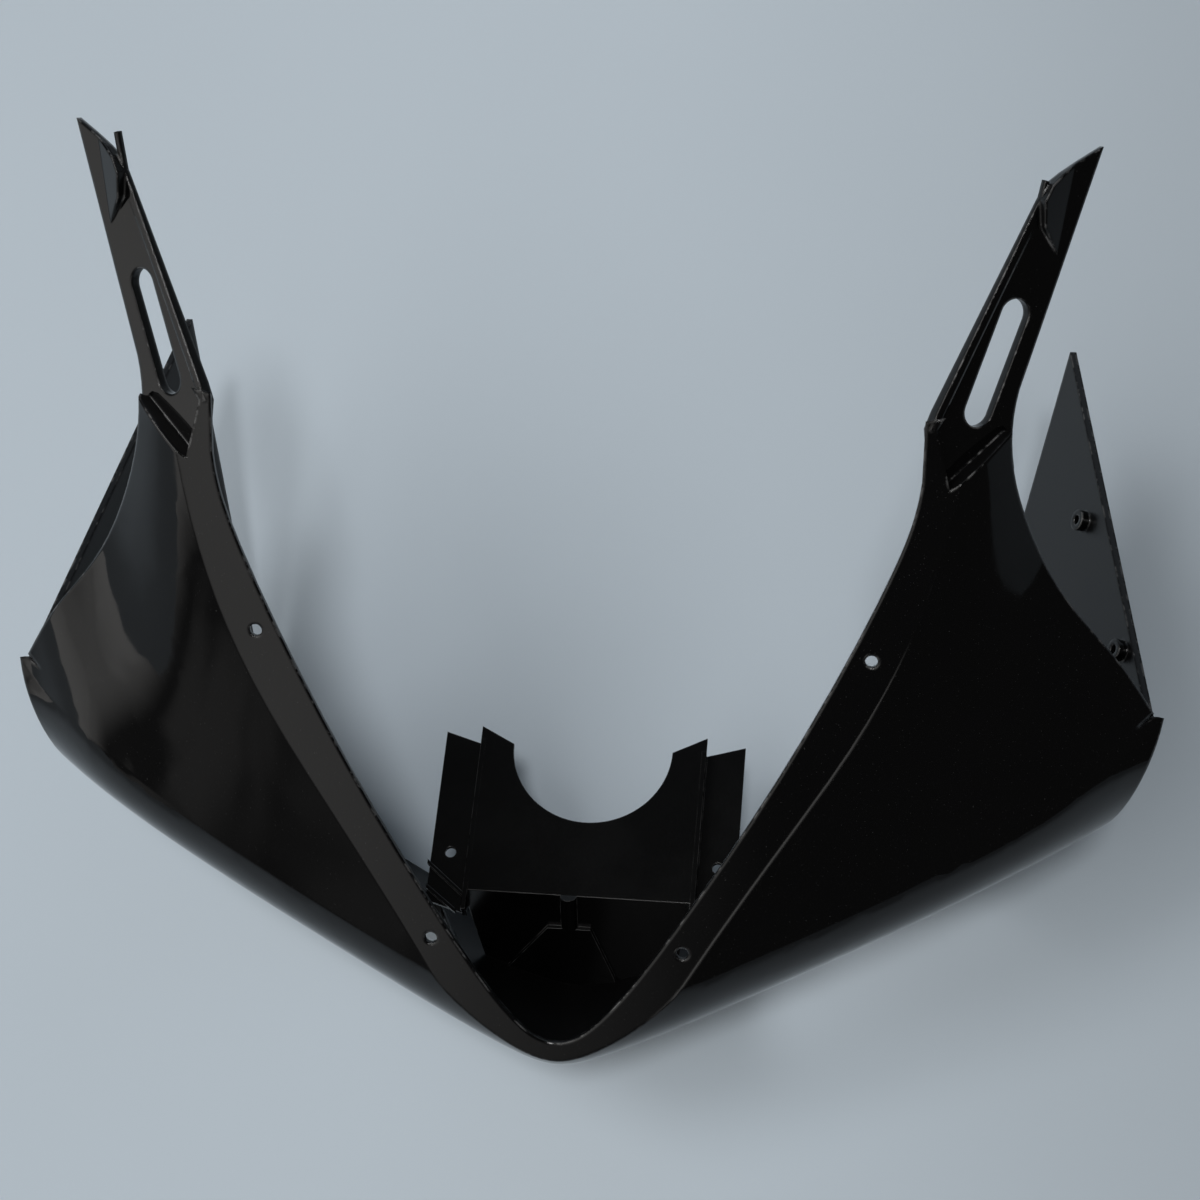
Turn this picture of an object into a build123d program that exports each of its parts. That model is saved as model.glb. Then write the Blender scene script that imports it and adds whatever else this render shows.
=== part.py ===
from build123d import *
import math
import os

# Front fairing of a sport motorcycle: a hollow nose shell with a V opening for the screen, two
# headlight openings, slotted mirror arms and two tail panels, and a duct tray inside the nose.
# Millimetres. Nose towards -Y, right side +X, up +Z, standing on its lower edge at z = 0.

# Overall frame: distances "back" are measured from a line just behind the nose tip, which leads it
LENGTH = 406.5
NOSE_LEAD = 1.1
HALF_WIDTH = 293.0
WALL = 3.0
WALL_BACK = 4.0

# Leading edge of the nose, seen from above a hyperbola
NOSE_BLUNT = 9.0
NOSE_SWEEP = 0.5215
EDGE_HEIGHT = 106.8
EDGE_RISE = 0.317
EDGE_RADIUS = 42.0
EDGE_LEAD = 16.3
LIP_SETBACK = 72.0

# The edge lifts and draws back a little at the tip, and falls back towards the outer corner
TIP_LIFT = 8.0
TIP_DRAW = 1.2
TIP_WIDTH = 45.0
CORNER_EASE = 6.0
CORNER_EASE_START = 215.0

# Wing surface: angle above the floor behind the leading edge, easing off towards the corner,
# and radius of the slight crown towards the rear
WING_ANGLE = 46.6
WING_CROWN = 3500.0
WING_EASE = 28.4
WING_EASE_START = 150.0
SECTION_WIDTHS = [0.0, 9.0, 21.0, 40.0, 68.0, 105.0, 150.0, 195.0, 245.0, HALF_WIDTH + 10.0]

# Plane of the screen seat
SEAT_ANGLE = math.degrees(math.atan(0.75))
SEAT_HEIGHT = 117.25

# V opening for the screen: its right edge in the seat plane (half width, distance up the slope)
SCREEN_EDGE = [
    (0.0, 7.7),
    (11.0, 11.2),
    (20.5, 19.3),
    (39.3, 42.9),
    (58.0, 71.8),
    (91.6, 128.5),
    (126.6, 195.8),
    (152.6, 254.3),
    (161.5, 280.0),
    (165.2, 301.0),
]
SCREEN_HOLE = 6.0
SCREEN_HOLES = [(62.2, 60.5), (146.5, 215.0)]

# Trailing edge of the wing, seen from above (half width, distance back), from the neck to the corner
NECK_BACK = 264.0
TRAIL_EDGE = [
    (205.0, 271.0),
    (205.6, 262.0),
    (207.2, 255.0),
    (215.6, 239.0),
    (241.5, 212.8),
    (281.0, 184.0),
    (288.5, 177.0),
]

# Corner, side panels, and the tails, which lie a step further in than the corner
CORNER_BACK = 172.0
SIDE_LEAN = 27.7
SIDE_TOE = 0.6
TAIL_STEP = 5.5
TAIL_STEP_BACK = 179.0
TAIL_TIP_HEIGHT = 103.0
TAIL_FOOT_BACK = 197.0
TAIL_BOSSES = [(301.0, 116.0), (219.0, 146.0)]
BOSS_DIAMETER = 11.0
BOSS_HEIGHT = 5.0
BOSS_BORE = 5.0

# Headlight openings, seen from the front (half width, height)
LAMP_CORNERS = [(46.0, 92.0), (222.0, 122.0), (190.0, 50.0), (82.0, 30.0)]
LAMP_RADIUS = 14.0
LAMP_RIM = 2.5
LAMP_RIM_DEPTH = 12.0

# Mirror arms: plane through the middle of the slot, u along the arm, v towards the screen
ARM_MIDDLE = (197.7, 295.0, 313.0)
ARM_SPLAY = 15.7
ARM_RISE = 26.8
ARM_LEAN = 38.3
ARM_THICKNESS = 3.0
ARM_FOOT = (-60.0, -16.0)
ARM_WAIST = [(-44.0, -24.5), (-28.0, -17.6), (-9.0, -14.4)]
ARM_TIP = (106.0, -18.8)
ARM_INNER_EDGE = [(97.0, -9.3), (89.0, -1.5), (83.0, 3.4), (75.0, 5.7), (-28.5, 26.3), (-37.0, 27.2)]
ARM_INNER_FOOT = (-60.0, 17.0)
ARM_FLANGE = 2.5
ARM_FLANGE_DEPTH = 8.0
ARM_FLANGE_END = (85.0, -17.9)
SLOT_LENGTH = 61.0
SLOT_WIDTH = 15.0
SLOT_SHIFT = 1.8
SLOT_TURN = -4.2
SLOT_DEPTH = 5.0

# Recess for the mirror foot at the neck, and the low curb from there up the arm
WELL_CORNERS = [(20.0, -26.0), (-13.0, -24.0), (-60.7, 10.4), (-36.0, 24.3), (20.0, 14.0)]
WELL_RADIUS = 8.0
WELL_WALL = 2.5
WELL_HEIGHT = 16.0
CURB_WIDTH = 4.0
CURB_HEIGHT = 3.0
CURB_END = 65.0

# Creased upper end of the arm, and the thin prong beside it: whole on the left, broken on the right
CREASE = [(54.0, -12.0), (95.0, -7.0)]
CREASE_INNER = [(89.0, -1.5), (83.0, 3.4), (75.0, 5.7), (64.0, 1.0)]
CREASE_ANGLE = 18.0
PRONG_WIDTH = 2.4
PRONG_DEPTH = 3.0
PRONG_ROOT = (76.0, 5.4)
PRONG_END = (94.0, 6.6)
PRONG_STUB = (84.0, 5.9)

# Duct tray inside the nose
TRAY_WALL = 2.5
TRAY_FOLD_BACK = 91.0
TRAY_FOLD_HEIGHT = 78.0
TRAY_FALL = 0.12
TRAY_REAR_BACK = 185.5
TRAY_HALF_WIDTH = 61.5
TRAY_FLANGE = 20.5
TRAY_STEP = 8.0
TRAY_STEP_BACK = 9.0
DUCT_RADIUS = 43.2
DUCT_BACK = 176.0
FLANGE_FRONT = -12.0
FLANGE_SLANT = 7.0
TRAY_HOLE = 6.0
TRAY_HOLE_BACK = 113.5
TRAY_RIBS = [((62.0, -0.4), (83.0, 16.7)), ((64.7, -10.0), (82.0, 3.0))]
RIB_WIDTH = 2.4
RIB_HEIGHT = 3.0

# Skirt of the tray: from the fold down to the middle bar, with a raised panel and a round post
SKIRT_SLOPE = 54.0
SKIRT_LENGTH = 95.0
SKIRT_FOOT_WIDTH = 40.0
PANEL_CORNERS = [(-16.5, -21.0), (6.5, -21.0), (18.5, -54.0), (26.0, -95.0), (-40.0, -95.0), (-46.0, -60.0)]
PANEL_RISE = 2.5
POST_MIDDLE = -5.0
POST_LENGTH = 21.0
POST_RADIUS = 4.3
FOOT_FLANGE = 3.0
FOOT_FLANGE_HALF = 38.0
FOOT_FLANGE_TOP = 28.0
FOOT_FLANGE_BOTTOM = 6.0

OVER = 60.0


def at(back):
    """Y of a point given by its distance back; the nose tip itself is a little further forward."""
    return back - (LENGTH - NOSE_LEAD) / 2


def edge_back(x):
    """Distance of the leading edge behind the nose tip at half width x."""
    ease = max(0.0, abs(x) - CORNER_EASE_START) / (HALF_WIDTH - CORNER_EASE_START)
    return math.sqrt(NOSE_BLUNT**2 + (NOSE_SWEEP * x) ** 2) - NOSE_BLUNT + CORNER_EASE * ease**2


def wing_angle(x):
    """Angle of the wing above the floor where it leaves the rounded leading edge, in radians."""
    ease = max(0.0, abs(x) - WING_EASE_START) / (HALF_WIDTH - WING_EASE_START)
    return math.radians(WING_ANGLE - WING_EASE * ease**2)


def edge_corner(x):
    """Sharp corner that the rounded leading edge replaces, as distance back and height."""
    back = edge_back(x)
    tip = math.exp(-((x / TIP_WIDTH) ** 2))
    return back - EDGE_LEAD + TIP_DRAW * tip, EDGE_HEIGHT + EDGE_RISE * back + TIP_LIFT * tip


def round_reach(x):
    """Distance from the sharp corner to the ends of the leading edge's round, and half its angle."""
    height = edge_corner(x)[1]
    half = (wing_angle(x) + math.atan2(height, EDGE_LEAD + LIP_SETBACK)) / 2
    return EDGE_RADIUS / math.tan(half), half


def crown_height(x, back):
    """Height of the crowned wing at half width x and this distance back."""
    front, height = edge_corner(x)
    reach = round_reach(x)[0]
    start = wing_angle(x)
    begin = front + reach * math.cos(start)
    end = math.asin(math.sin(start) - (back - begin) / WING_CROWN)
    return height + reach * math.sin(start) + WING_CROWN * (math.cos(end) - math.cos(start))


def corner_height():
    """Height of the wing at its outer rear corner."""
    return crown_height(HALF_WIDTH, CORNER_BACK)


def section(x, shift, rear, bottom):
    """Closed side profile of the nose at half width x, moved back by shift."""
    front, height = edge_corner(x)
    reach, half = round_reach(x)
    lead = Vector(at(front + shift), height)
    wing = Vector(math.cos(wing_angle(x)), math.sin(wing_angle(x)))
    foot = (EDGE_LEAD + LIP_SETBACK) * (height - bottom) / height
    face = Vector(foot, bottom - height).normalized()
    middle = (wing + face).normalized() * (EDGE_RADIUS / math.sin(half) - EDGE_RADIUS)
    half_way = (front + rear) / 2
    with BuildSketch(Plane.YZ.offset(x)) as profile:
        with BuildLine():
            Line((at(front + foot + shift), bottom), lead + face * reach)
            ThreePointArc(lead + face * reach, lead + middle, lead + wing * reach)
            ThreePointArc(
                lead + wing * reach,
                (at(half_way + shift), crown_height(x, half_way)),
                (at(rear + shift), crown_height(x, rear)),
            )
            Polyline(
                (at(rear + shift), crown_height(x, rear)),
                (at(rear + shift), bottom),
                (at(front + foot + shift), bottom),
            )
        make_face()
    return profile.sketch


def nose_sections(shift, rear, bottom):
    """Side profiles from the left end to the right end, ready to loft."""
    widths = [-w for w in reversed(SECTION_WIDTHS[1:])] + SECTION_WIDTHS
    return [section(x, shift, rear, bottom) for x in widths]


def seat_plane(depth):
    """Plane of the screen seat, lowered by depth along its normal; local y runs up the slope."""
    lean = math.radians(SEAT_ANGLE)
    normal = Vector(0, -math.sin(lean), math.cos(lean))
    return Plane(origin=Vector(0, at(0), SEAT_HEIGHT) - normal * depth, x_dir=(1, 0, 0), z_dir=normal)


def side_plane(hand, inset):
    """Outer plane of a side panel, moved inwards by inset; hand is +1 right, -1 left."""
    lean = math.radians(SIDE_LEAN)
    toe = math.radians(SIDE_TOE)
    normal = Vector(
        hand * math.cos(lean) * math.cos(toe), math.cos(lean) * math.sin(toe), -math.sin(lean)
    )
    corner = Vector(hand * HALF_WIDTH, at(CORNER_BACK), corner_height())
    return Plane(origin=corner - normal * inset, x_dir=(0, 1, 0), z_dir=normal)


def on_side(back, height):
    """Point of the inner face of the right side panel at this distance back and height."""
    face = side_plane(1, TAIL_STEP + WALL)
    step = Vector(0, at(back), height) - face.origin
    x = -(face.z_dir.Y * step.Y + face.z_dir.Z * step.Z) / face.z_dir.X
    return Vector(face.origin.X + x, at(back), height)


def arm_plane():
    """Plane of the right mirror arm's upper face."""
    splay = math.radians(ARM_SPLAY)
    rise = math.radians(ARM_RISE)
    lean = math.radians(ARM_LEAN)
    along = Vector(
        math.cos(rise) * math.sin(splay), math.cos(rise) * math.cos(splay), math.sin(rise)
    )
    inwards = Vector(-math.cos(splay), math.sin(splay), 0)
    normal = along.cross(inwards) * math.cos(lean) - inwards * math.sin(lean)
    x, back, z = ARM_MIDDLE
    return Plane(origin=(x, at(back), z), x_dir=along, z_dir=normal)


def on_arm(u, v, w):
    """Point given in the coordinates of the right mirror arm."""
    return arm_plane().from_local_coords((u, v, w))


def tray_plane(drop):
    """Plane of the tray's upper face, lowered by drop; local y runs to the rear."""
    return Plane(
        origin=(0, at(TRAY_FOLD_BACK), TRAY_FOLD_HEIGHT - drop), x_dir=(1, 0, 0), z_dir=(0, TRAY_FALL, 1)
    )


def skirt_plane():
    """Plane of the skirt's upper face; local y runs up the skirt and ends at the fold."""
    slope = math.radians(SKIRT_SLOPE)
    return Plane(
        origin=(0, at(TRAY_FOLD_BACK), TRAY_FOLD_HEIGHT),
        x_dir=(1, 0, 0),
        z_dir=(0, -math.sin(slope), math.cos(slope)),
    )


def tail_space(hand, start, inset):
    """Space outside a tail whose outer face lies inset within the corner, from start to the rear."""
    with BuildPart() as space:
        with Locations((hand * HALF_WIDTH, at(start), 0)):
            Box(2 * HALF_WIDTH, LENGTH, 2 * LENGTH, align=(Align.CENTER, Align.MIN, Align.CENTER))
        split(bisect_by=side_plane(hand, inset), keep=Keep.TOP)
    return space.part


def prong(end):
    """Thin prong that runs up beside the creased end of the right arm."""
    with BuildPart() as sliver:
        with BuildSketch(arm_plane().offset(-ARM_THICKNESS)):
            with BuildLine():
                Polyline(
                    (PRONG_ROOT[0], PRONG_ROOT[1] - PRONG_WIDTH),
                    (end[0], end[1] - PRONG_WIDTH),
                    end,
                    PRONG_ROOT,
                    close=True,
                )
            make_face()
        extrude(amount=PRONG_DEPTH)
    return sliver.part


with BuildPart() as outer:
    loft(nose_sections(0.0, LENGTH + 20, -OVER))
    split(bisect_by=Plane.XY, keep=Keep.TOP)
    split(bisect_by=seat_plane(0.0), keep=Keep.BOTTOM)
    for hand in (1, -1):
        split(bisect_by=side_plane(hand, 0.0), keep=Keep.BOTTOM)
        add(tail_space(hand, TAIL_STEP_BACK, TAIL_STEP), mode=Mode.SUBTRACT)

with BuildPart() as inner:
    loft(nose_sections(WALL_BACK, LENGTH + OVER, -OVER))
    split(bisect_by=seat_plane(WALL), keep=Keep.BOTTOM)
    for hand in (1, -1):
        split(bisect_by=side_plane(hand, WALL), keep=Keep.BOTTOM)
        add(tail_space(hand, TAIL_STEP_BACK - WALL, TAIL_STEP + WALL), mode=Mode.SUBTRACT)

# Space behind the trailing edges of the wings
with BuildPart() as behind_wings:
    with BuildSketch(Plane.XY.offset(corner_height())):
        with BuildLine():
            trail = [(x, at(back)) for x, back in TRAIL_EDGE]
            Polyline((0, LENGTH), (0, at(NECK_BACK)), (SCREEN_EDGE[-1][0], at(NECK_BACK)), trail[0])
            Spline(*trail)
            Polyline(
                trail[-1],
                (HALF_WIDTH, at(CORNER_BACK)),
                (2 * HALF_WIDTH, at(CORNER_BACK)),
                (2 * HALF_WIDTH, LENGTH),
                (0, LENGTH),
            )
        make_face()
        mirror(about=Plane.YZ)
    extrude(amount=LENGTH)

# Headlight openings, right through, and the rims behind them
with BuildPart() as lamp_ways:
    with BuildSketch(Plane.XZ.offset(LENGTH)) as lamps:
        with BuildLine():
            Polyline(*LAMP_CORNERS, close=True)
        make_face()
        fillet(lamps.vertices(), LAMP_RADIUS)
        mirror(about=Plane.YZ)
    extrude(amount=-2 * LENGTH)

with BuildPart() as lamp_rims:
    with BuildSketch(Plane.XZ.offset(LENGTH)):
        add(lamps.sketch_local)
        offset(amount=LAMP_RIM)
    extrude(amount=-2 * LENGTH)
    add(outer.part, mode=Mode.INTERSECT)
    add(outer.part.moved(Location((0, LAMP_RIM_DEPTH, 0))), mode=Mode.SUBTRACT)

# Right mirror arm: plate with a turned down outer edge and a collar under the slot
with BuildPart() as arm:
    with BuildSketch(arm_plane()):
        with BuildLine():
            ThreePointArc(*ARM_WAIST)
            Polyline(ARM_WAIST[-1], ARM_TIP, *ARM_INNER_EDGE, ARM_INNER_FOOT, ARM_FOOT, ARM_WAIST[0])
        make_face()
    extrude(amount=-ARM_THICKNESS)
    with BuildSketch(arm_plane()):
        with Locations((0, SLOT_SHIFT)):
            SlotOverall(SLOT_LENGTH + 2 * ARM_FLANGE, SLOT_WIDTH + 2 * ARM_FLANGE, rotation=SLOT_TURN)
    extrude(amount=-SLOT_DEPTH)
    with BuildSketch(arm_plane()):
        with BuildLine():
            Polyline(
                ARM_WAIST[-1],
                ARM_FLANGE_END,
                (ARM_FLANGE_END[0] - ARM_FLANGE_DEPTH, ARM_FLANGE_END[1] + ARM_FLANGE),
                (ARM_WAIST[-1][0], ARM_WAIST[-1][1] + ARM_FLANGE),
                close=True,
            )
        make_face()
    extrude(amount=-ARM_FLANGE_DEPTH)

# Curb along the inner edge of the arm, running out upwards
with BuildPart() as curb:
    edge = ARM_INNER_EDGE[3:]
    with BuildSketch(arm_plane()):
        with BuildLine():
            Polyline(*edge, *[(u, v - CURB_WIDTH) for u, v in reversed(edge)], close=True)
        make_face()
    extrude(amount=CURB_HEIGHT)
    top = on_arm(ARM_INNER_EDGE[-1][0], 0, CURB_HEIGHT)
    run_out = on_arm(CURB_END, 0, 0) - top
    slope = Plane(origin=top, x_dir=run_out, z_dir=run_out.cross(arm_plane().y_dir))
    split(bisect_by=slope, keep=Keep.BOTTOM)

# Creased upper end of the arm: a low wedge rising from the crease to the inner edge
with BuildPart() as creased_end:
    with BuildSketch(arm_plane()):
        with BuildLine():
            Polyline(*CREASE, *CREASE_INNER, close=True)
        make_face()
    extrude(amount=WELL_HEIGHT)
    start, end = [on_arm(u, v, 0) for u, v in CREASE]
    level = Plane(origin=start, x_dir=end - start, z_dir=arm_plane().z_dir)
    tilt = math.radians(CREASE_ANGLE)
    facing = level.z_dir * math.cos(tilt) - level.y_dir * math.sin(tilt)
    split(bisect_by=Plane(origin=start, x_dir=level.x_dir, z_dir=facing), keep=Keep.BOTTOM)

# Recess for the mirror foot, and the walls round it under the wing
with BuildPart() as well:
    with BuildSketch(arm_plane()) as well_outline:
        with BuildLine():
            Polyline(*WELL_CORNERS, close=True)
        make_face()
        deepest = arm_plane().from_local_coords(min(WELL_CORNERS))
        fillet(well_outline.vertices().sort_by_distance(deepest)[0], WELL_RADIUS)
    extrude(amount=WELL_HEIGHT)

with BuildPart() as well_walls:
    with BuildSketch(arm_plane()):
        add(well_outline.sketch_local)
        offset(amount=WELL_WALL)
    extrude(amount=WELL_HEIGHT)
    add(outer.part, mode=Mode.INTERSECT)
    add(behind_wings.part, mode=Mode.SUBTRACT)

with BuildPart() as slot:
    with BuildSketch(arm_plane()):
        with Locations((0, SLOT_SHIFT)):
            SlotOverall(SLOT_LENGTH, SLOT_WIDTH, rotation=SLOT_TURN)
    extrude(amount=2 * SLOT_DEPTH, both=True)

# Screw bosses on the inner face of the right tail
with BuildPart() as bosses:
    for back, height in TAIL_BOSSES:
        seat = Plane(origin=on_side(back, height), x_dir=(0, 1, 0), z_dir=-side_plane(1, 0).z_dir)
        with BuildSketch(seat.offset(-WALL / 2)):
            Circle(BOSS_DIAMETER / 2)
        extrude(amount=BOSS_HEIGHT + WALL / 2)
        with BuildSketch(seat):
            Circle(BOSS_BORE / 2)
        extrude(amount=BOSS_HEIGHT, mode=Mode.SUBTRACT)

with BuildPart() as nose_shell:
    add(outer.part)
    add(inner.part, mode=Mode.SUBTRACT)

    # Opening for the screen, open to the rear
    with BuildSketch(seat_plane(0.0)):
        with BuildLine():
            half, top = SCREEN_EDGE[-1]
            Spline(*[(-x, up) for x, up in reversed(SCREEN_EDGE[1:])], *SCREEN_EDGE)
            Polyline((half, top), (half, 2 * LENGTH), (-half, 2 * LENGTH), (-half, top))
        make_face()
    extrude(amount=2 * WALL, both=True, mode=Mode.SUBTRACT)

    # Trailing edges, headlight openings and their rims
    add(behind_wings.part, mode=Mode.SUBTRACT)
    add(lamp_rims.part)
    add(lamp_ways.part, mode=Mode.SUBTRACT)

    # Tails, seen from the side
    with BuildSketch(Plane.YZ) as tails:
        with BuildLine():
            Polyline(
                (at(CORNER_BACK), corner_height()),
                (at(LENGTH), TAIL_TIP_HEIGHT),
                (at(TAIL_FOOT_BACK), 0),
                (at(TAIL_FOOT_BACK), -OVER),
                (LENGTH, -OVER),
                (LENGTH, corner_height()),
                close=True,
            )
        make_face()
    extrude(amount=2 * HALF_WIDTH, both=True, mode=Mode.SUBTRACT)

    # Screw holes of the screen
    with Locations(seat_plane(0.0)):
        with Locations(*[(hand * x, y) for x, y in SCREEN_HOLES for hand in (1, -1)]):
            Cylinder(SCREEN_HOLE / 2, 4 * WALL, mode=Mode.SUBTRACT)

    # Mirror arms, their recesses and slots, and the tail bosses
    grown = [well_walls.part, arm.part, bosses.part]
    add(grown)
    mirror(grown, about=Plane.YZ)
    cut_away = [well.part, slot.part]
    add(cut_away, mode=Mode.SUBTRACT)
    mirror(cut_away, about=Plane.YZ, mode=Mode.SUBTRACT)
    raised = [curb.part, creased_end.part]
    add(raised)
    mirror(raised, about=Plane.YZ)
    add(prong(PRONG_STUB))
    mirror(prong(PRONG_END), about=Plane.YZ)

# Duct tray: flat floor with a half-round end, stepped side flanges and a skirt down to the nose
with BuildPart() as duct_tray:
    floor_length = TRAY_REAR_BACK - TRAY_FOLD_BACK
    duct_end = DUCT_BACK - TRAY_FOLD_BACK
    with BuildSketch(tray_plane(0.0)):
        with BuildLine():
            Polyline(
                (-TRAY_HALF_WIDTH, 0),
                (TRAY_HALF_WIDTH, 0),
                (TRAY_HALF_WIDTH, floor_length),
                (DUCT_RADIUS, duct_end),
                (-DUCT_RADIUS, duct_end),
                (-TRAY_HALF_WIDTH, floor_length),
                close=True,
            )
        make_face()
        with Locations((0, duct_end)):
            Circle(DUCT_RADIUS, mode=Mode.SUBTRACT)
    extrude(amount=-TRAY_WALL)

    # Side flanges: step down, flange with a hole, and two slanted ribs
    outside = TRAY_HALF_WIDTH + TRAY_FLANGE
    with BuildSketch(tray_plane(TRAY_STEP)):
        with BuildLine():
            Polyline(
                (TRAY_HALF_WIDTH - TRAY_WALL, FLANGE_FRONT),
                (outside, FLANGE_FRONT + FLANGE_SLANT),
                (outside, floor_length - TRAY_STEP_BACK + FLANGE_SLANT),
                (TRAY_HALF_WIDTH - TRAY_WALL, floor_length - TRAY_STEP_BACK),
                close=True,
            )
        make_face()
        with Locations((TRAY_HALF_WIDTH + TRAY_FLANGE / 2, TRAY_HOLE_BACK - TRAY_FOLD_BACK)):
            Circle(TRAY_HOLE / 2, mode=Mode.SUBTRACT)
        mirror(about=Plane.YZ)
    extrude(amount=-TRAY_WALL)
    step_length = floor_length - TRAY_STEP_BACK - FLANGE_FRONT
    with BuildSketch(tray_plane(TRAY_STEP + TRAY_WALL)):
        with Locations((TRAY_HALF_WIDTH - TRAY_WALL / 2, FLANGE_FRONT + step_length / 2)):
            Rectangle(TRAY_WALL, step_length)
        mirror(about=Plane.YZ)
    extrude(amount=TRAY_STEP + TRAY_WALL)
    for (x0, y0), (x1, y1) in TRAY_RIBS:
        with BuildSketch(tray_plane(TRAY_STEP)):
            with BuildLine():
                Polyline((x0, y0), (x1, y1), (x1, y1 - RIB_WIDTH), (x0, y0 - RIB_WIDTH), close=True)
            make_face()
            mirror(about=Plane.YZ)
        extrude(amount=RIB_HEIGHT)

    # Skirt with its raised panel and the half-sunk round post under the fold
    with BuildSketch(skirt_plane()):
        with BuildLine():
            Polyline(
                (-TRAY_HALF_WIDTH, 0),
                (TRAY_HALF_WIDTH, 0),
                (SKIRT_FOOT_WIDTH, -SKIRT_LENGTH),
                (-SKIRT_FOOT_WIDTH, -SKIRT_LENGTH),
                close=True,
            )
        make_face()
    extrude(amount=-TRAY_WALL)
    with BuildSketch(skirt_plane()):
        with BuildLine():
            Polyline(*PANEL_CORNERS, close=True)
        make_face()
    extrude(amount=PANEL_RISE)
    lower_end = Plane(
        origin=skirt_plane().from_local_coords((POST_MIDDLE, -POST_LENGTH, 0)),
        x_dir=(1, 0, 0),
        z_dir=skirt_plane().y_dir,
    )
    with BuildSketch(lower_end):
        Circle(POST_RADIUS)
    extrude(amount=POST_LENGTH)

    # Everything ends at the inner face of the nose, where a foot flange lies against it
    add(inner.part, mode=Mode.INTERSECT)
    foot_height = FOOT_FLANGE_TOP - FOOT_FLANGE_BOTTOM
    with BuildPart(mode=Mode.PRIVATE) as foot:
        with Locations((0, 0, FOOT_FLANGE_BOTTOM + foot_height / 2)):
            Box(2 * FOOT_FLANGE_HALF, LENGTH, foot_height)
        add(inner.part, mode=Mode.INTERSECT)
        add(inner.part.moved(Location((0, FOOT_FLANGE, 0))), mode=Mode.SUBTRACT)
    add(foot.part)

os.makedirs("parts", exist_ok=True)
for node, name in ((nose_shell, "nose_shell"), (duct_tray, "duct_tray")):
    node.part.label = name
    export_step(node.part, f"parts/{name}.step")
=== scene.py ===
"""Finish of a gloss black motorcycle fairing: its moulded shell, its duct tray and a plain stage."""
import math

import bpy
from mathutils import Matrix, Vector

bl_info = {
    "name": "Motorcycle fairing finish",
    "version": (1, 0, 0),
    "blender": (4, 5, 0),
    "location": "3D View > Sidebar > Fairing",
    "description": "Finishes the moulded shell and the duct tray, and sets up a plain stage",
    "category": "Object",
}

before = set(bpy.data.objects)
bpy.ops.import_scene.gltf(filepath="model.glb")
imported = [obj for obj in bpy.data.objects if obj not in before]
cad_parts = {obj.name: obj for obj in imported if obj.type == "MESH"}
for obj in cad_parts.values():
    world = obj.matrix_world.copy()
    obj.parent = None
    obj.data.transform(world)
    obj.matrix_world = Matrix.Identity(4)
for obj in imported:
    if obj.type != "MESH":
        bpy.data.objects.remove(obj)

# The camera looks down on the nose from high in front, a little to the right of the middle.
CAMERA_PLACE = Vector((0.1414, -0.39365, 1.3092))
CAMERA_RIGHT = Vector((0.993, 0.084, -0.086))
CAMERA_BACK = Vector((0.109, -0.340, 0.934))
SENSOR_WIDTH = 36.0

# Direction of the small light in front on the right, which lines the right edge of the nose.
STRIP_LIGHT = Vector((0.22, -0.92, 0.32))
STRIP_STRENGTH = 1.4

# Direction of the low light on the left, which brightens the left mirror arm.
LOW_LIGHT = Vector((-0.96, -0.26, 0.10))
LOW_STRENGTH = 0.7

# Directions that the two soft lamps shine from, how many degrees each is spread and how far they hang.
TOP_LIGHT = (0.03, -0.12, 1.0)
TOP_SPREAD = 9.0
SIDE_LIGHT = (-0.50, 0.10, 0.86)
SIDE_SPREAD = 22.0
LAMP_DISTANCE = 2.0

# The least light that comes from every side, and the waves in the uneven light on the left.
LEAST_LIGHT = 0.05
UNEVEN_WAVES = 3.4

# Half the width of the floor, and the waves per metre of its clouds and its weave.
FLOOR_REACH = 4.0
FLOOR_CLOUD_WAVES = 2.5
FLOOR_WEAVE_WAVES = 700.0

# How far the floor's clouds stray from its colour, and the share of its colour that is left where the
# painted shade is full, far away on the right.
FLOOR_CLOUD_SHARE = 0.03
FLOOR_PAINTED_SHADE_SHARE = 0.3

# Distances in metres between which painted shade darkens the floor, and how far that painted shade goes
# there and to the right.
FLOOR_NEAR = 0.7
FLOOR_FAR = 1.8
FLOOR_FAR_PAINTED_SHADE = 0.65
FLOOR_RIGHT_PAINTED_SHADE = 0.35

# A point inside the hollow of the shell: faces that look towards it are inner faces.
HOLLOW_MIDDLE = (0.0, 0.15, 0.12)

# How strongly both mouldings bend light.
PLASTIC_IOR = 1.42

# Waves per metre of the shell's noises, from broad clouds to fine specks.
SHELL_CLOUD_WAVES = 9.0
SHELL_SMEAR_WAVES = 38.0
SHELL_PATCH_WAVES = 150.0
SHELL_RIPPLE_WAVES = 170.0
SHELL_GRAIN_WAVES = 1100.0
SHELL_SPECK_WAVES = 1300.0

# Heights in metres of the shell's long waves, short ripples and inner grain.
SHELL_WAVE_HEIGHT = 7e-5
SHELL_RIPPLE_HEIGHT = 2.5e-6
SHELL_GRAIN_HEIGHT = 2e-5

# Grey levels of dust and of rubbed edges on the shell.
SHELL_DUST = 0.14
SHELL_RUBBED = 0.20

# Waves per metre and grain height of the tray, and its grey levels of dust and rubbed edges.
TRAY_CLOUD_WAVES = 22.0
TRAY_PATCH_WAVES = 120.0
TRAY_GRAIN_HEIGHT = 1.2e-5
TRAY_DUST = 0.07
TRAY_RUBBED = 0.14


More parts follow.
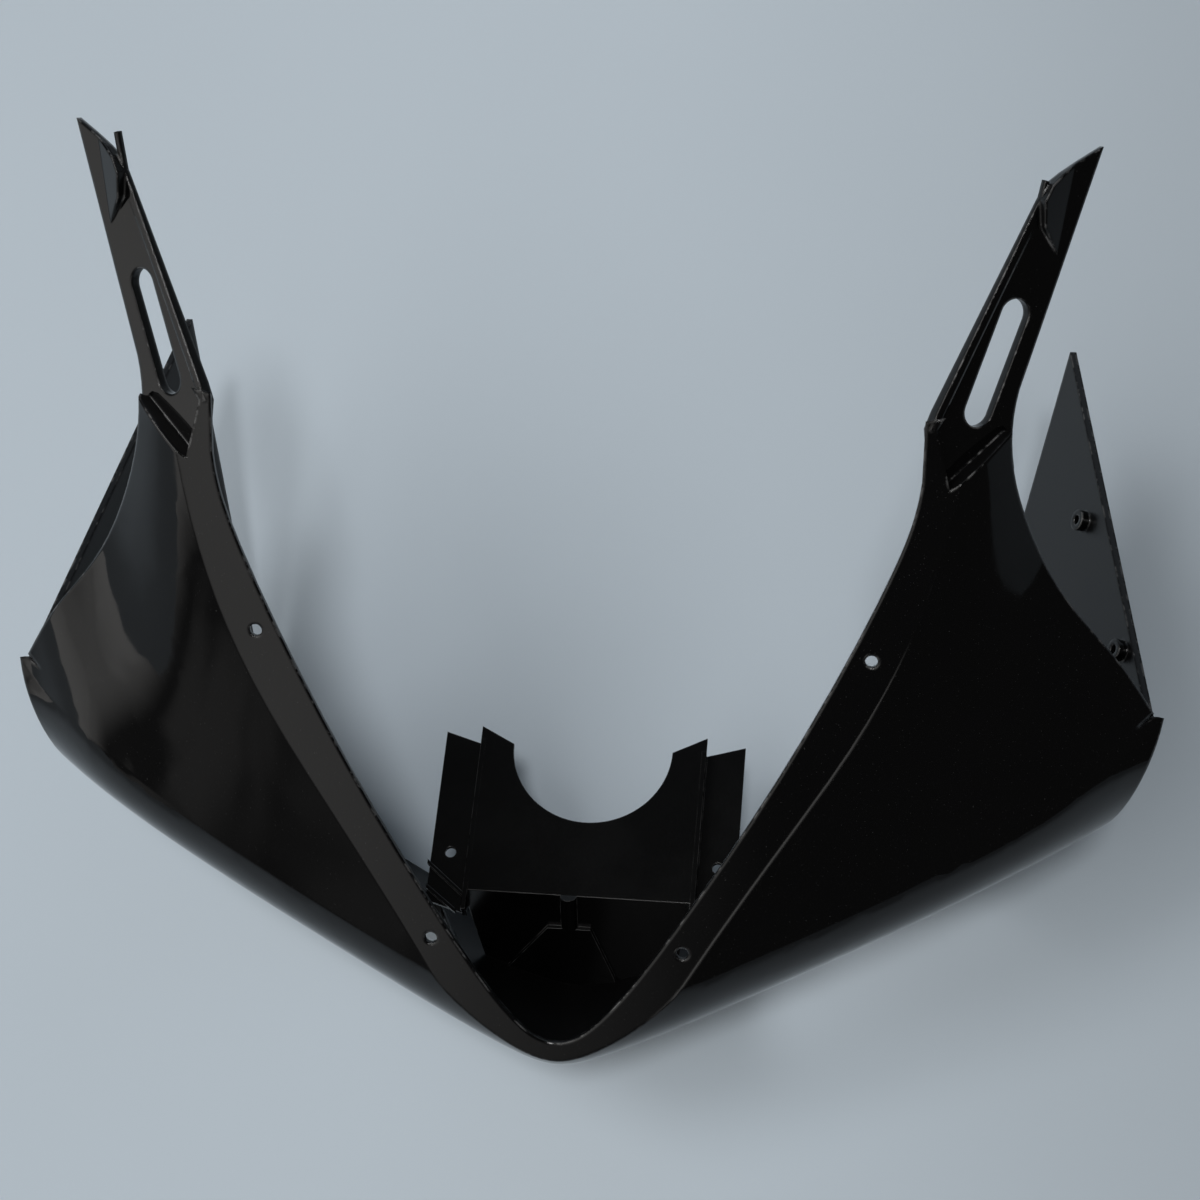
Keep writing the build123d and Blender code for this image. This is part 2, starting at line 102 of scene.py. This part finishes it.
class Value:
    """One number of a shader, with the operators of plain arithmetic."""

    def __init__(self, shader, socket):
        self.shader = shader
        self.socket = socket

    def math(self, operation, first, second):
        """Add a Math node that takes two numbers."""
        return self.shader.node("ShaderNodeMath", {"operation": operation}, {0: first, 1: second})

    def __add__(self, other):
        return self.math("ADD", self, other)

    def __sub__(self, other):
        return self.math("SUBTRACT", self, other)

    def __rsub__(self, other):
        return self.math("SUBTRACT", other, self)

    def __mul__(self, other):
        return self.math("MULTIPLY", self, other)

    def __truediv__(self, other):
        return self.math("DIVIDE", self, other)

    def ramp(self, low, high, start=0.0, end=1.0):
        """Ease from start to end while this number goes from low to high."""
        return self.shader.node(
            "ShaderNodeMapRange",
            {"interpolation_type": "SMOOTHSTEP"},
            {"Value": self, "From Min": low, "From Max": high, "To Min": start, "To Max": end},
        )


class Shader:
    """The node tree of one material or world, built node by node."""

    def __init__(self, owner):
        owner.use_nodes = True
        self.tree = owner.node_tree
        self.tree.nodes.clear()

    def feed(self, socket, entry):
        """Link a number into a socket, or set the socket's own value."""
        if isinstance(entry, Value):
            self.tree.links.new(entry.socket, socket)
        else:
            socket.default_value = entry

    def node(self, kind, settings=None, sockets=None, output=0):
        """Add a node, its settings first and then its sockets, and return one output."""
        node = self.tree.nodes.new(kind)
        for name, setting in (settings or {}).items():
            setattr(node, name, setting)
        for name, entry in (sockets or {}).items():
            self.feed(node.inputs[name], entry)
        return Value(self, node.outputs[output]) if node.outputs else None

    def mix(self, factor, first, second):
        """Blend two colours."""
        node = self.tree.nodes.new("ShaderNodeMix")
        node.data_type = "RGBA"
        for place, entry in zip((0, 6, 7), (factor, first, second)):
            self.feed(node.inputs[place], entry)
        return Value(self, node.outputs[2])

    def noise(self, place, scale, detail=2.0, roughness=0.5):
        """A noise of the given number of waves per metre."""
        return self.node(
            "ShaderNodeTexNoise",
            {"noise_dimensions": "3D"},
            {"Vector": place, "Scale": scale, "Detail": detail, "Roughness": roughness},
        )

    def rounded(self, width):
        """The normal with every sharp edge rounded off over the given width."""
        return self.node("ShaderNodeBevel", {"samples": 8}, {"Radius": width})

    def dot(self, first, second):
        """The dot product of two vectors."""
        return self.node(
            "ShaderNodeVectorMath", {"operation": "DOT_PRODUCT"}, {0: first, 1: second}, output=1
        )

    def relief(self, height, normal):
        """A normal raised by a height in metres."""
        return self.node("ShaderNodeBump", None, {"Distance": 1.0, "Height": height, "Normal": normal})

    def finish(self, colour, roughness, normal, **constants):
        """End the material in one plastic surface."""
        sockets = {"Base Color": colour, "Roughness": roughness, "Normal": normal}
        sockets.update(constants)
        surface = self.node("ShaderNodeBsdfPrincipled", None, sockets)
        self.node("ShaderNodeOutputMaterial", None, {"Surface": surface})


def grey(level, blue=1.0):
    """A neutral colour, cooled or warmed a little by its blue share."""
    return (level, level, level * blue, 1.0)


def toned(colour, share):
    """A colour made lighter or darker by a share."""
    return tuple(part * share for part in colour) + (1.0,)


def give(node_name, material):
    """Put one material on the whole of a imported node."""
    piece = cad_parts[node_name]
    piece.data.materials.clear()
    piece.data.materials.append(material)


class FairingShellSettings(bpy.types.PropertyGroup):
    """How the moulded shell looks."""

    gloss_level: bpy.props.FloatProperty(
        name="Gloss colour", description="Grey level of the outer faces", default=0.0016, min=0, max=1
    )
    gloss_roughness: bpy.props.FloatProperty(
        name="Gloss roughness",
        description="Roughness of the outer faces",
        default=0.045,
        min=0,
        max=1,
        subtype="FACTOR",
    )
    satin_level: bpy.props.FloatProperty(
        name="Inner colour", description="Grey level of the inner faces", default=0.003, min=0, max=1
    )
    satin_roughness: bpy.props.FloatProperty(
        name="Inner roughness",
        description="Roughness of the inner faces",
        default=0.32,
        min=0,
        max=1,
        subtype="FACTOR",
    )
    edge_round: bpy.props.FloatProperty(
        name="Edge rounding",
        description="Width of the rounding on the moulded edges",
        default=0.0022,
        min=0,
        unit="LENGTH",
    )
    edge_wear: bpy.props.FloatProperty(
        name="Edge wear",
        description="How far the edges are rubbed to a paler grey",
        default=0.5,
        min=0,
        max=1,
        subtype="FACTOR",
    )
    wave_size: bpy.props.FloatProperty(
        name="Wave size",
        description="Size of the faint waves in the gloss faces",
        default=0.045,
        min=0.001,
        unit="LENGTH",
    )


class FairingTraySettings(bpy.types.PropertyGroup):
    """How the duct tray looks."""

    level: bpy.props.FloatProperty(
        name="Colour", description="Grey level of the tray", default=0.0009, min=0, max=1
    )
    roughness: bpy.props.FloatProperty(
        name="Roughness",
        description="Roughness of the tray",
        default=0.21,
        min=0,
        max=1,
        subtype="FACTOR",
    )
    grain_size: bpy.props.FloatProperty(
        name="Grain size",
        description="Size of the moulded grain",
        default=0.0009,
        min=0.0001,
        unit="LENGTH",
    )
    edge_round: bpy.props.FloatProperty(
        name="Edge rounding",
        description="Width of the rounding on the tray's edges",
        default=0.0008,
        min=0,
        unit="LENGTH",
    )


class FairingStageSettings(bpy.types.PropertyGroup):
    """The plain floor, the soft light and the camera."""

    floor_colour: bpy.props.FloatVectorProperty(
        name="Floor colour",
        description="Colour of the pale floor",
        default=(0.585, 0.665, 0.735),
        size=3,
        subtype="COLOR",
    )
    window_strength: bpy.props.FloatProperty(
        name="Soft light", description="Strength of the broad light on the left", default=1.0, min=0
    )
    fill_strength: bpy.props.FloatProperty(
        name="Fill light", description="Strength of the cool light from behind", default=0.42, min=0
    )
    top_strength: bpy.props.FloatProperty(
        name="Top light", description="Strength of the soft light overhead", default=0.75, min=0
    )
    side_strength: bpy.props.FloatProperty(
        name="Side light", description="Strength of the soft light high on the left", default=0.55, min=0
    )
    lens: bpy.props.FloatProperty(
        name="Lens", description="Focal length of the camera in millimetres", default=72.0, min=10
    )


class FAIRING_OT_shell(bpy.types.Operator):
    """Give the shell gloss outer faces, satin inner faces and softly moulded edges"""

    bl_idname = "fairing.shell"
    bl_label = "Finish the shell"

    def execute(self, context):
        look = context.scene.fairing_shell
        material = bpy.data.materials.new("fairing_gloss_black")
        shader = Shader(material)
        place = shader.node("ShaderNodeTexCoord", output=3)
        facing = shader.node("ShaderNodeNewGeometry", output=1)
        from_hollow = shader.node(
            "ShaderNodeVectorMath", {"operation": "SUBTRACT"}, {0: place, 1: HOLLOW_MIDDLE}
        )
        inner = shader.dot(facing, from_hollow).ramp(-0.006, 0.006, 1.0, 0.0)
        upward = shader.dot(facing, (0.0, 0.0, 1.0)).ramp(0.1, 0.9)
        rounded = shader.rounded(look.edge_round)
        edge = (1 - shader.dot(rounded, facing)).ramp(0.01, 0.15)

        cloud = shader.noise(place, SHELL_CLOUD_WAVES, 3.0)
        smear = shader.noise(place, SHELL_SMEAR_WAVES, 4.0, 0.6)
        patches = shader.noise(place, SHELL_PATCH_WAVES, 3.0, 0.65)
        specks = shader.noise(place, SHELL_SPECK_WAVES, 1.0).ramp(0.72, 0.80) * upward * 0.25
        grain = shader.noise(place, SHELL_GRAIN_WAVES, 2.0)
        wave = shader.noise(place, 1.0 / look.wave_size, 1.0)
        ripple = shader.noise(place, SHELL_RIPPLE_WAVES, 1.0)
        wear = edge * patches.ramp(0.48, 0.62) * look.edge_wear

        gloss = shader.mix(cloud, grey(look.gloss_level * 0.7, 1.1), grey(look.gloss_level * 1.3, 1.1))
        satin = shader.mix(grain, grey(look.satin_level * 0.75, 1.05), grey(look.satin_level * 1.3, 1.05))
        dusty = shader.mix(specks, gloss, grey(SHELL_DUST))
        colour = shader.mix(wear, shader.mix(inner, dusty, satin), grey(SHELL_RUBBED))

        film = smear.ramp(0.45, 0.75) * 0.04
        gloss_rough = film + look.gloss_roughness + specks * 0.4
        satin_rough = grain * 0.12 + (look.satin_roughness - 0.06)
        roughness = gloss_rough + inner * (satin_rough - gloss_rough) + wear * 0.3

        smooth = wave * SHELL_WAVE_HEIGHT + ripple * SHELL_RIPPLE_HEIGHT
        height = smooth * (1 - inner) + grain * inner * SHELL_GRAIN_HEIGHT
        shader.finish(colour, roughness, shader.relief(height, rounded), IOR=PLASTIC_IOR)
        give("nose_shell", material)
        return {"FINISHED"}


class FAIRING_OT_tray(bpy.types.Operator):
    """Give the duct tray a satin moulded finish with a fine grain"""

    bl_idname = "fairing.tray"
    bl_label = "Finish the duct tray"

    def execute(self, context):
        look = context.scene.fairing_tray
        material = bpy.data.materials.new("fairing_satin_black")
        shader = Shader(material)
        place = shader.node("ShaderNodeTexCoord", output=3)
        facing = shader.node("ShaderNodeNewGeometry", output=1)
        upward = shader.dot(facing, (0.0, 0.0, 1.0)).ramp(0.2, 0.95)
        rounded = shader.rounded(look.edge_round)
        edge = (1 - shader.dot(rounded, facing)).ramp(0.01, 0.15)
        grain = shader.noise(place, 1.0 / look.grain_size, 2.0)
        cloud = shader.noise(place, TRAY_CLOUD_WAVES, 4.0, 0.6)
        patches = shader.noise(place, TRAY_PATCH_WAVES, 3.0, 0.65)
        dust = cloud.ramp(0.42, 0.72) * upward * 0.02
        wear = edge * patches.ramp(0.35, 0.65) * 0.5

        plain = shader.mix(grain, grey(look.level * 0.7, 1.05), grey(look.level * 1.4, 1.05))
        colour = shader.mix(wear, shader.mix(dust, plain, grey(TRAY_DUST)), grey(TRAY_RUBBED))
        roughness = grain * 0.10 + dust * 0.6 + (look.roughness - 0.05)
        normal = shader.relief(grain * TRAY_GRAIN_HEIGHT, rounded)
        shader.finish(colour, roughness, normal, IOR=PLASTIC_IOR)
        give("duct_tray", material)
        return {"FINISHED"}


class FAIRING_OT_stage(bpy.types.Operator):
    """Lay the pale floor, hang the soft lights and set the camera"""

    bl_idname = "fairing.stage"
    bl_label = "Set the stage"

    def execute(self, context):
        look = context.scene.fairing_stage
        self.lay_floor(look)
        self.light_world(context.scene, look)
        self.hang_light("stage_top", TOP_LIGHT, TOP_SPREAD, look.top_strength)
        self.hang_light("stage_side", SIDE_LIGHT, SIDE_SPREAD, look.side_strength)
        self.set_camera(context.scene, look)
        context.scene.view_settings.view_transform = "Standard"
        return {"FINISHED"}

    def lay_floor(self, look):
        """One large plain floor with painted shade that darkens it far away and a little to the right."""
        reach = FLOOR_REACH
        mesh = bpy.data.meshes.new("stage_floor")
        corners = [(-reach, -reach, 0), (reach, -reach, 0), (reach, reach, 0), (-reach, reach, 0)]
        mesh.from_pydata(corners, [], [(0, 1, 2, 3)])
        floor = bpy.data.objects.new("stage_floor", mesh)
        bpy.context.scene.collection.objects.link(floor)
        material = bpy.data.materials.new("stage_floor")
        shader = Shader(material)
        place = shader.node("ShaderNodeTexCoord", output=3)
        cloud = shader.noise(place, FLOOR_CLOUD_WAVES, 3.0)
        far = shader.node("ShaderNodeVectorMath", {"operation": "LENGTH"}, {0: place}, output=1)
        right = shader.dot(place, (1.0, 0.0, 0.0)).ramp(-0.05, 0.45)
        low = toned(look.floor_colour, 1 - FLOOR_CLOUD_SHARE)
        high = toned(look.floor_colour, 1 + FLOOR_CLOUD_SHARE)
        near = shader.mix(cloud, low, high)
        painted_shade_colour = toned(look.floor_colour, FLOOR_PAINTED_SHADE_SHARE)
        # Painted shade: the floor colour is darkened far away and towards the right, standing in for
        # light that falls off.
        painted_shade = far.ramp(FLOOR_NEAR, FLOOR_FAR, 0.0, FLOOR_FAR_PAINTED_SHADE) + right * FLOOR_RIGHT_PAINTED_SHADE
        colour = shader.mix(painted_shade, near, painted_shade_colour)
        weave = shader.noise(place, FLOOR_WEAVE_WAVES, 1.0)
        normal = shader.node(
            "ShaderNodeBump", None, {"Strength": 0.05, "Distance": 0.0003, "Height": weave}
        )
        shader.finish(colour, weave * 0.1 + 0.8, normal)
        mesh.materials.append(material)

    def light_world(self, scene, look):
        """A broad uneven light on the left, two small ones low down and a cool fill behind."""
        world = bpy.data.worlds.new("stage_light")
        scene.world = world
        shader = Shader(world)
        direction = shader.node("ShaderNodeTexCoord", output=0)
        height = shader.dot(direction, (0.0, 0.0, 1.0))
        left = shader.dot(direction, (-1.0, 0.0, 0.0)).ramp(0.02, 0.26)
        ahead = shader.dot(direction, (0.0, -1.0, 0.0)).ramp(-0.25, 0.2)
        uneven = shader.noise(direction, UNEVEN_WAVES, 3.0).ramp(0.42, 0.58, 0.12, 1.0)
        even = height.ramp(0.20, 0.42)
        low = height.ramp(0.05, 0.55, 0.22, 0.85) * (uneven + (1 - uneven) * even)
        high = height.ramp(0.55, 0.85, 0.0, 0.9)
        window = (low + high) * left * ahead * look.window_strength
        strip = shader.dot(direction, STRIP_LIGHT.normalized()).ramp(0.982, 0.994) * STRIP_STRENGTH
        glow = shader.dot(direction, LOW_LIGHT.normalized()).ramp(0.95, 0.99) * LOW_STRENGTH
        behind = shader.dot(direction, (0.0, 1.0, 0.0)).ramp(0.5, 0.85)
        fill = behind * height.ramp(0.0, 0.2) * look.fill_strength
        share = fill / (window + fill + 0.001)
        colour = shader.mix(share, (1.0, 0.99, 0.97, 1.0), (0.78, 0.89, 1.0, 1.0))
        strength = window + fill + strip + glow + LEAST_LIGHT
        light = shader.node("ShaderNodeBackground", None, {"Color": colour, "Strength": strength})
        shader.node("ShaderNodeOutputWorld", None, {"Surface": light})

    def hang_light(self, name, place, spread, strength):
        """A soft distant light that comes from the given side, spread over so many degrees."""
        data = bpy.data.lights.new(name, "SUN")
        data.angle = math.radians(spread)
        data.energy = strength
        lamp = bpy.data.objects.new(name, data)
        bpy.context.scene.collection.objects.link(lamp)
        lamp.location = Vector(place) * LAMP_DISTANCE
        lamp.rotation_euler = (-lamp.location).to_track_quat("-Z", "Y").to_euler()

    def set_camera(self, scene, look):
        """The camera looks down on the nose from the front."""
        data = bpy.data.cameras.new("stage_camera")
        data.lens = look.lens
        data.sensor_width = SENSOR_WIDTH
        camera = bpy.data.objects.new("stage_camera", data)
        scene.collection.objects.link(camera)
        back = CAMERA_BACK.normalized()
        right = (CAMERA_RIGHT - back * CAMERA_RIGHT.dot(back)).normalized()
        up = back.cross(right)
        turn = Matrix((right, up, back)).transposed().to_4x4()
        camera.matrix_world = Matrix.Translation(CAMERA_PLACE) @ turn
        scene.camera = camera


class FAIRING_PT_panel(bpy.types.Panel):
    """Sidebar panel with the steps of the finish"""

    bl_idname = "FAIRING_PT_panel"
    bl_label = "Fairing"
    bl_space_type = "VIEW_3D"
    bl_region_type = "UI"
    bl_category = "Fairing"

    def draw(self, context):
        groups = (
            (context.scene.fairing_shell, FAIRING_OT_shell),
            (context.scene.fairing_tray, FAIRING_OT_tray),
            (context.scene.fairing_stage, FAIRING_OT_stage),
        )
        for settings, step in groups:
            box = self.layout.box()
            for name in settings.__annotations__:
                box.prop(settings, name)
            box.operator(step.bl_idname)


CLASSES = (
    FairingShellSettings,
    FairingTraySettings,
    FairingStageSettings,
    FAIRING_OT_shell,
    FAIRING_OT_tray,
    FAIRING_OT_stage,
    FAIRING_PT_panel,
)


def register():
    for entry in CLASSES:
        bpy.utils.register_class(entry)
    bpy.types.Scene.fairing_shell = bpy.props.PointerProperty(type=FairingShellSettings)
    bpy.types.Scene.fairing_tray = bpy.props.PointerProperty(type=FairingTraySettings)
    bpy.types.Scene.fairing_stage = bpy.props.PointerProperty(type=FairingStageSettings)


def unregister():
    del bpy.types.Scene.fairing_stage
    del bpy.types.Scene.fairing_tray
    del bpy.types.Scene.fairing_shell
    for entry in reversed(CLASSES):
        bpy.utils.unregister_class(entry)


def main():
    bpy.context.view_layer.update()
    register()
    bpy.ops.fairing.shell()
    bpy.ops.fairing.tray()
    bpy.ops.fairing.stage()


if __name__ == "__main__":
    main()
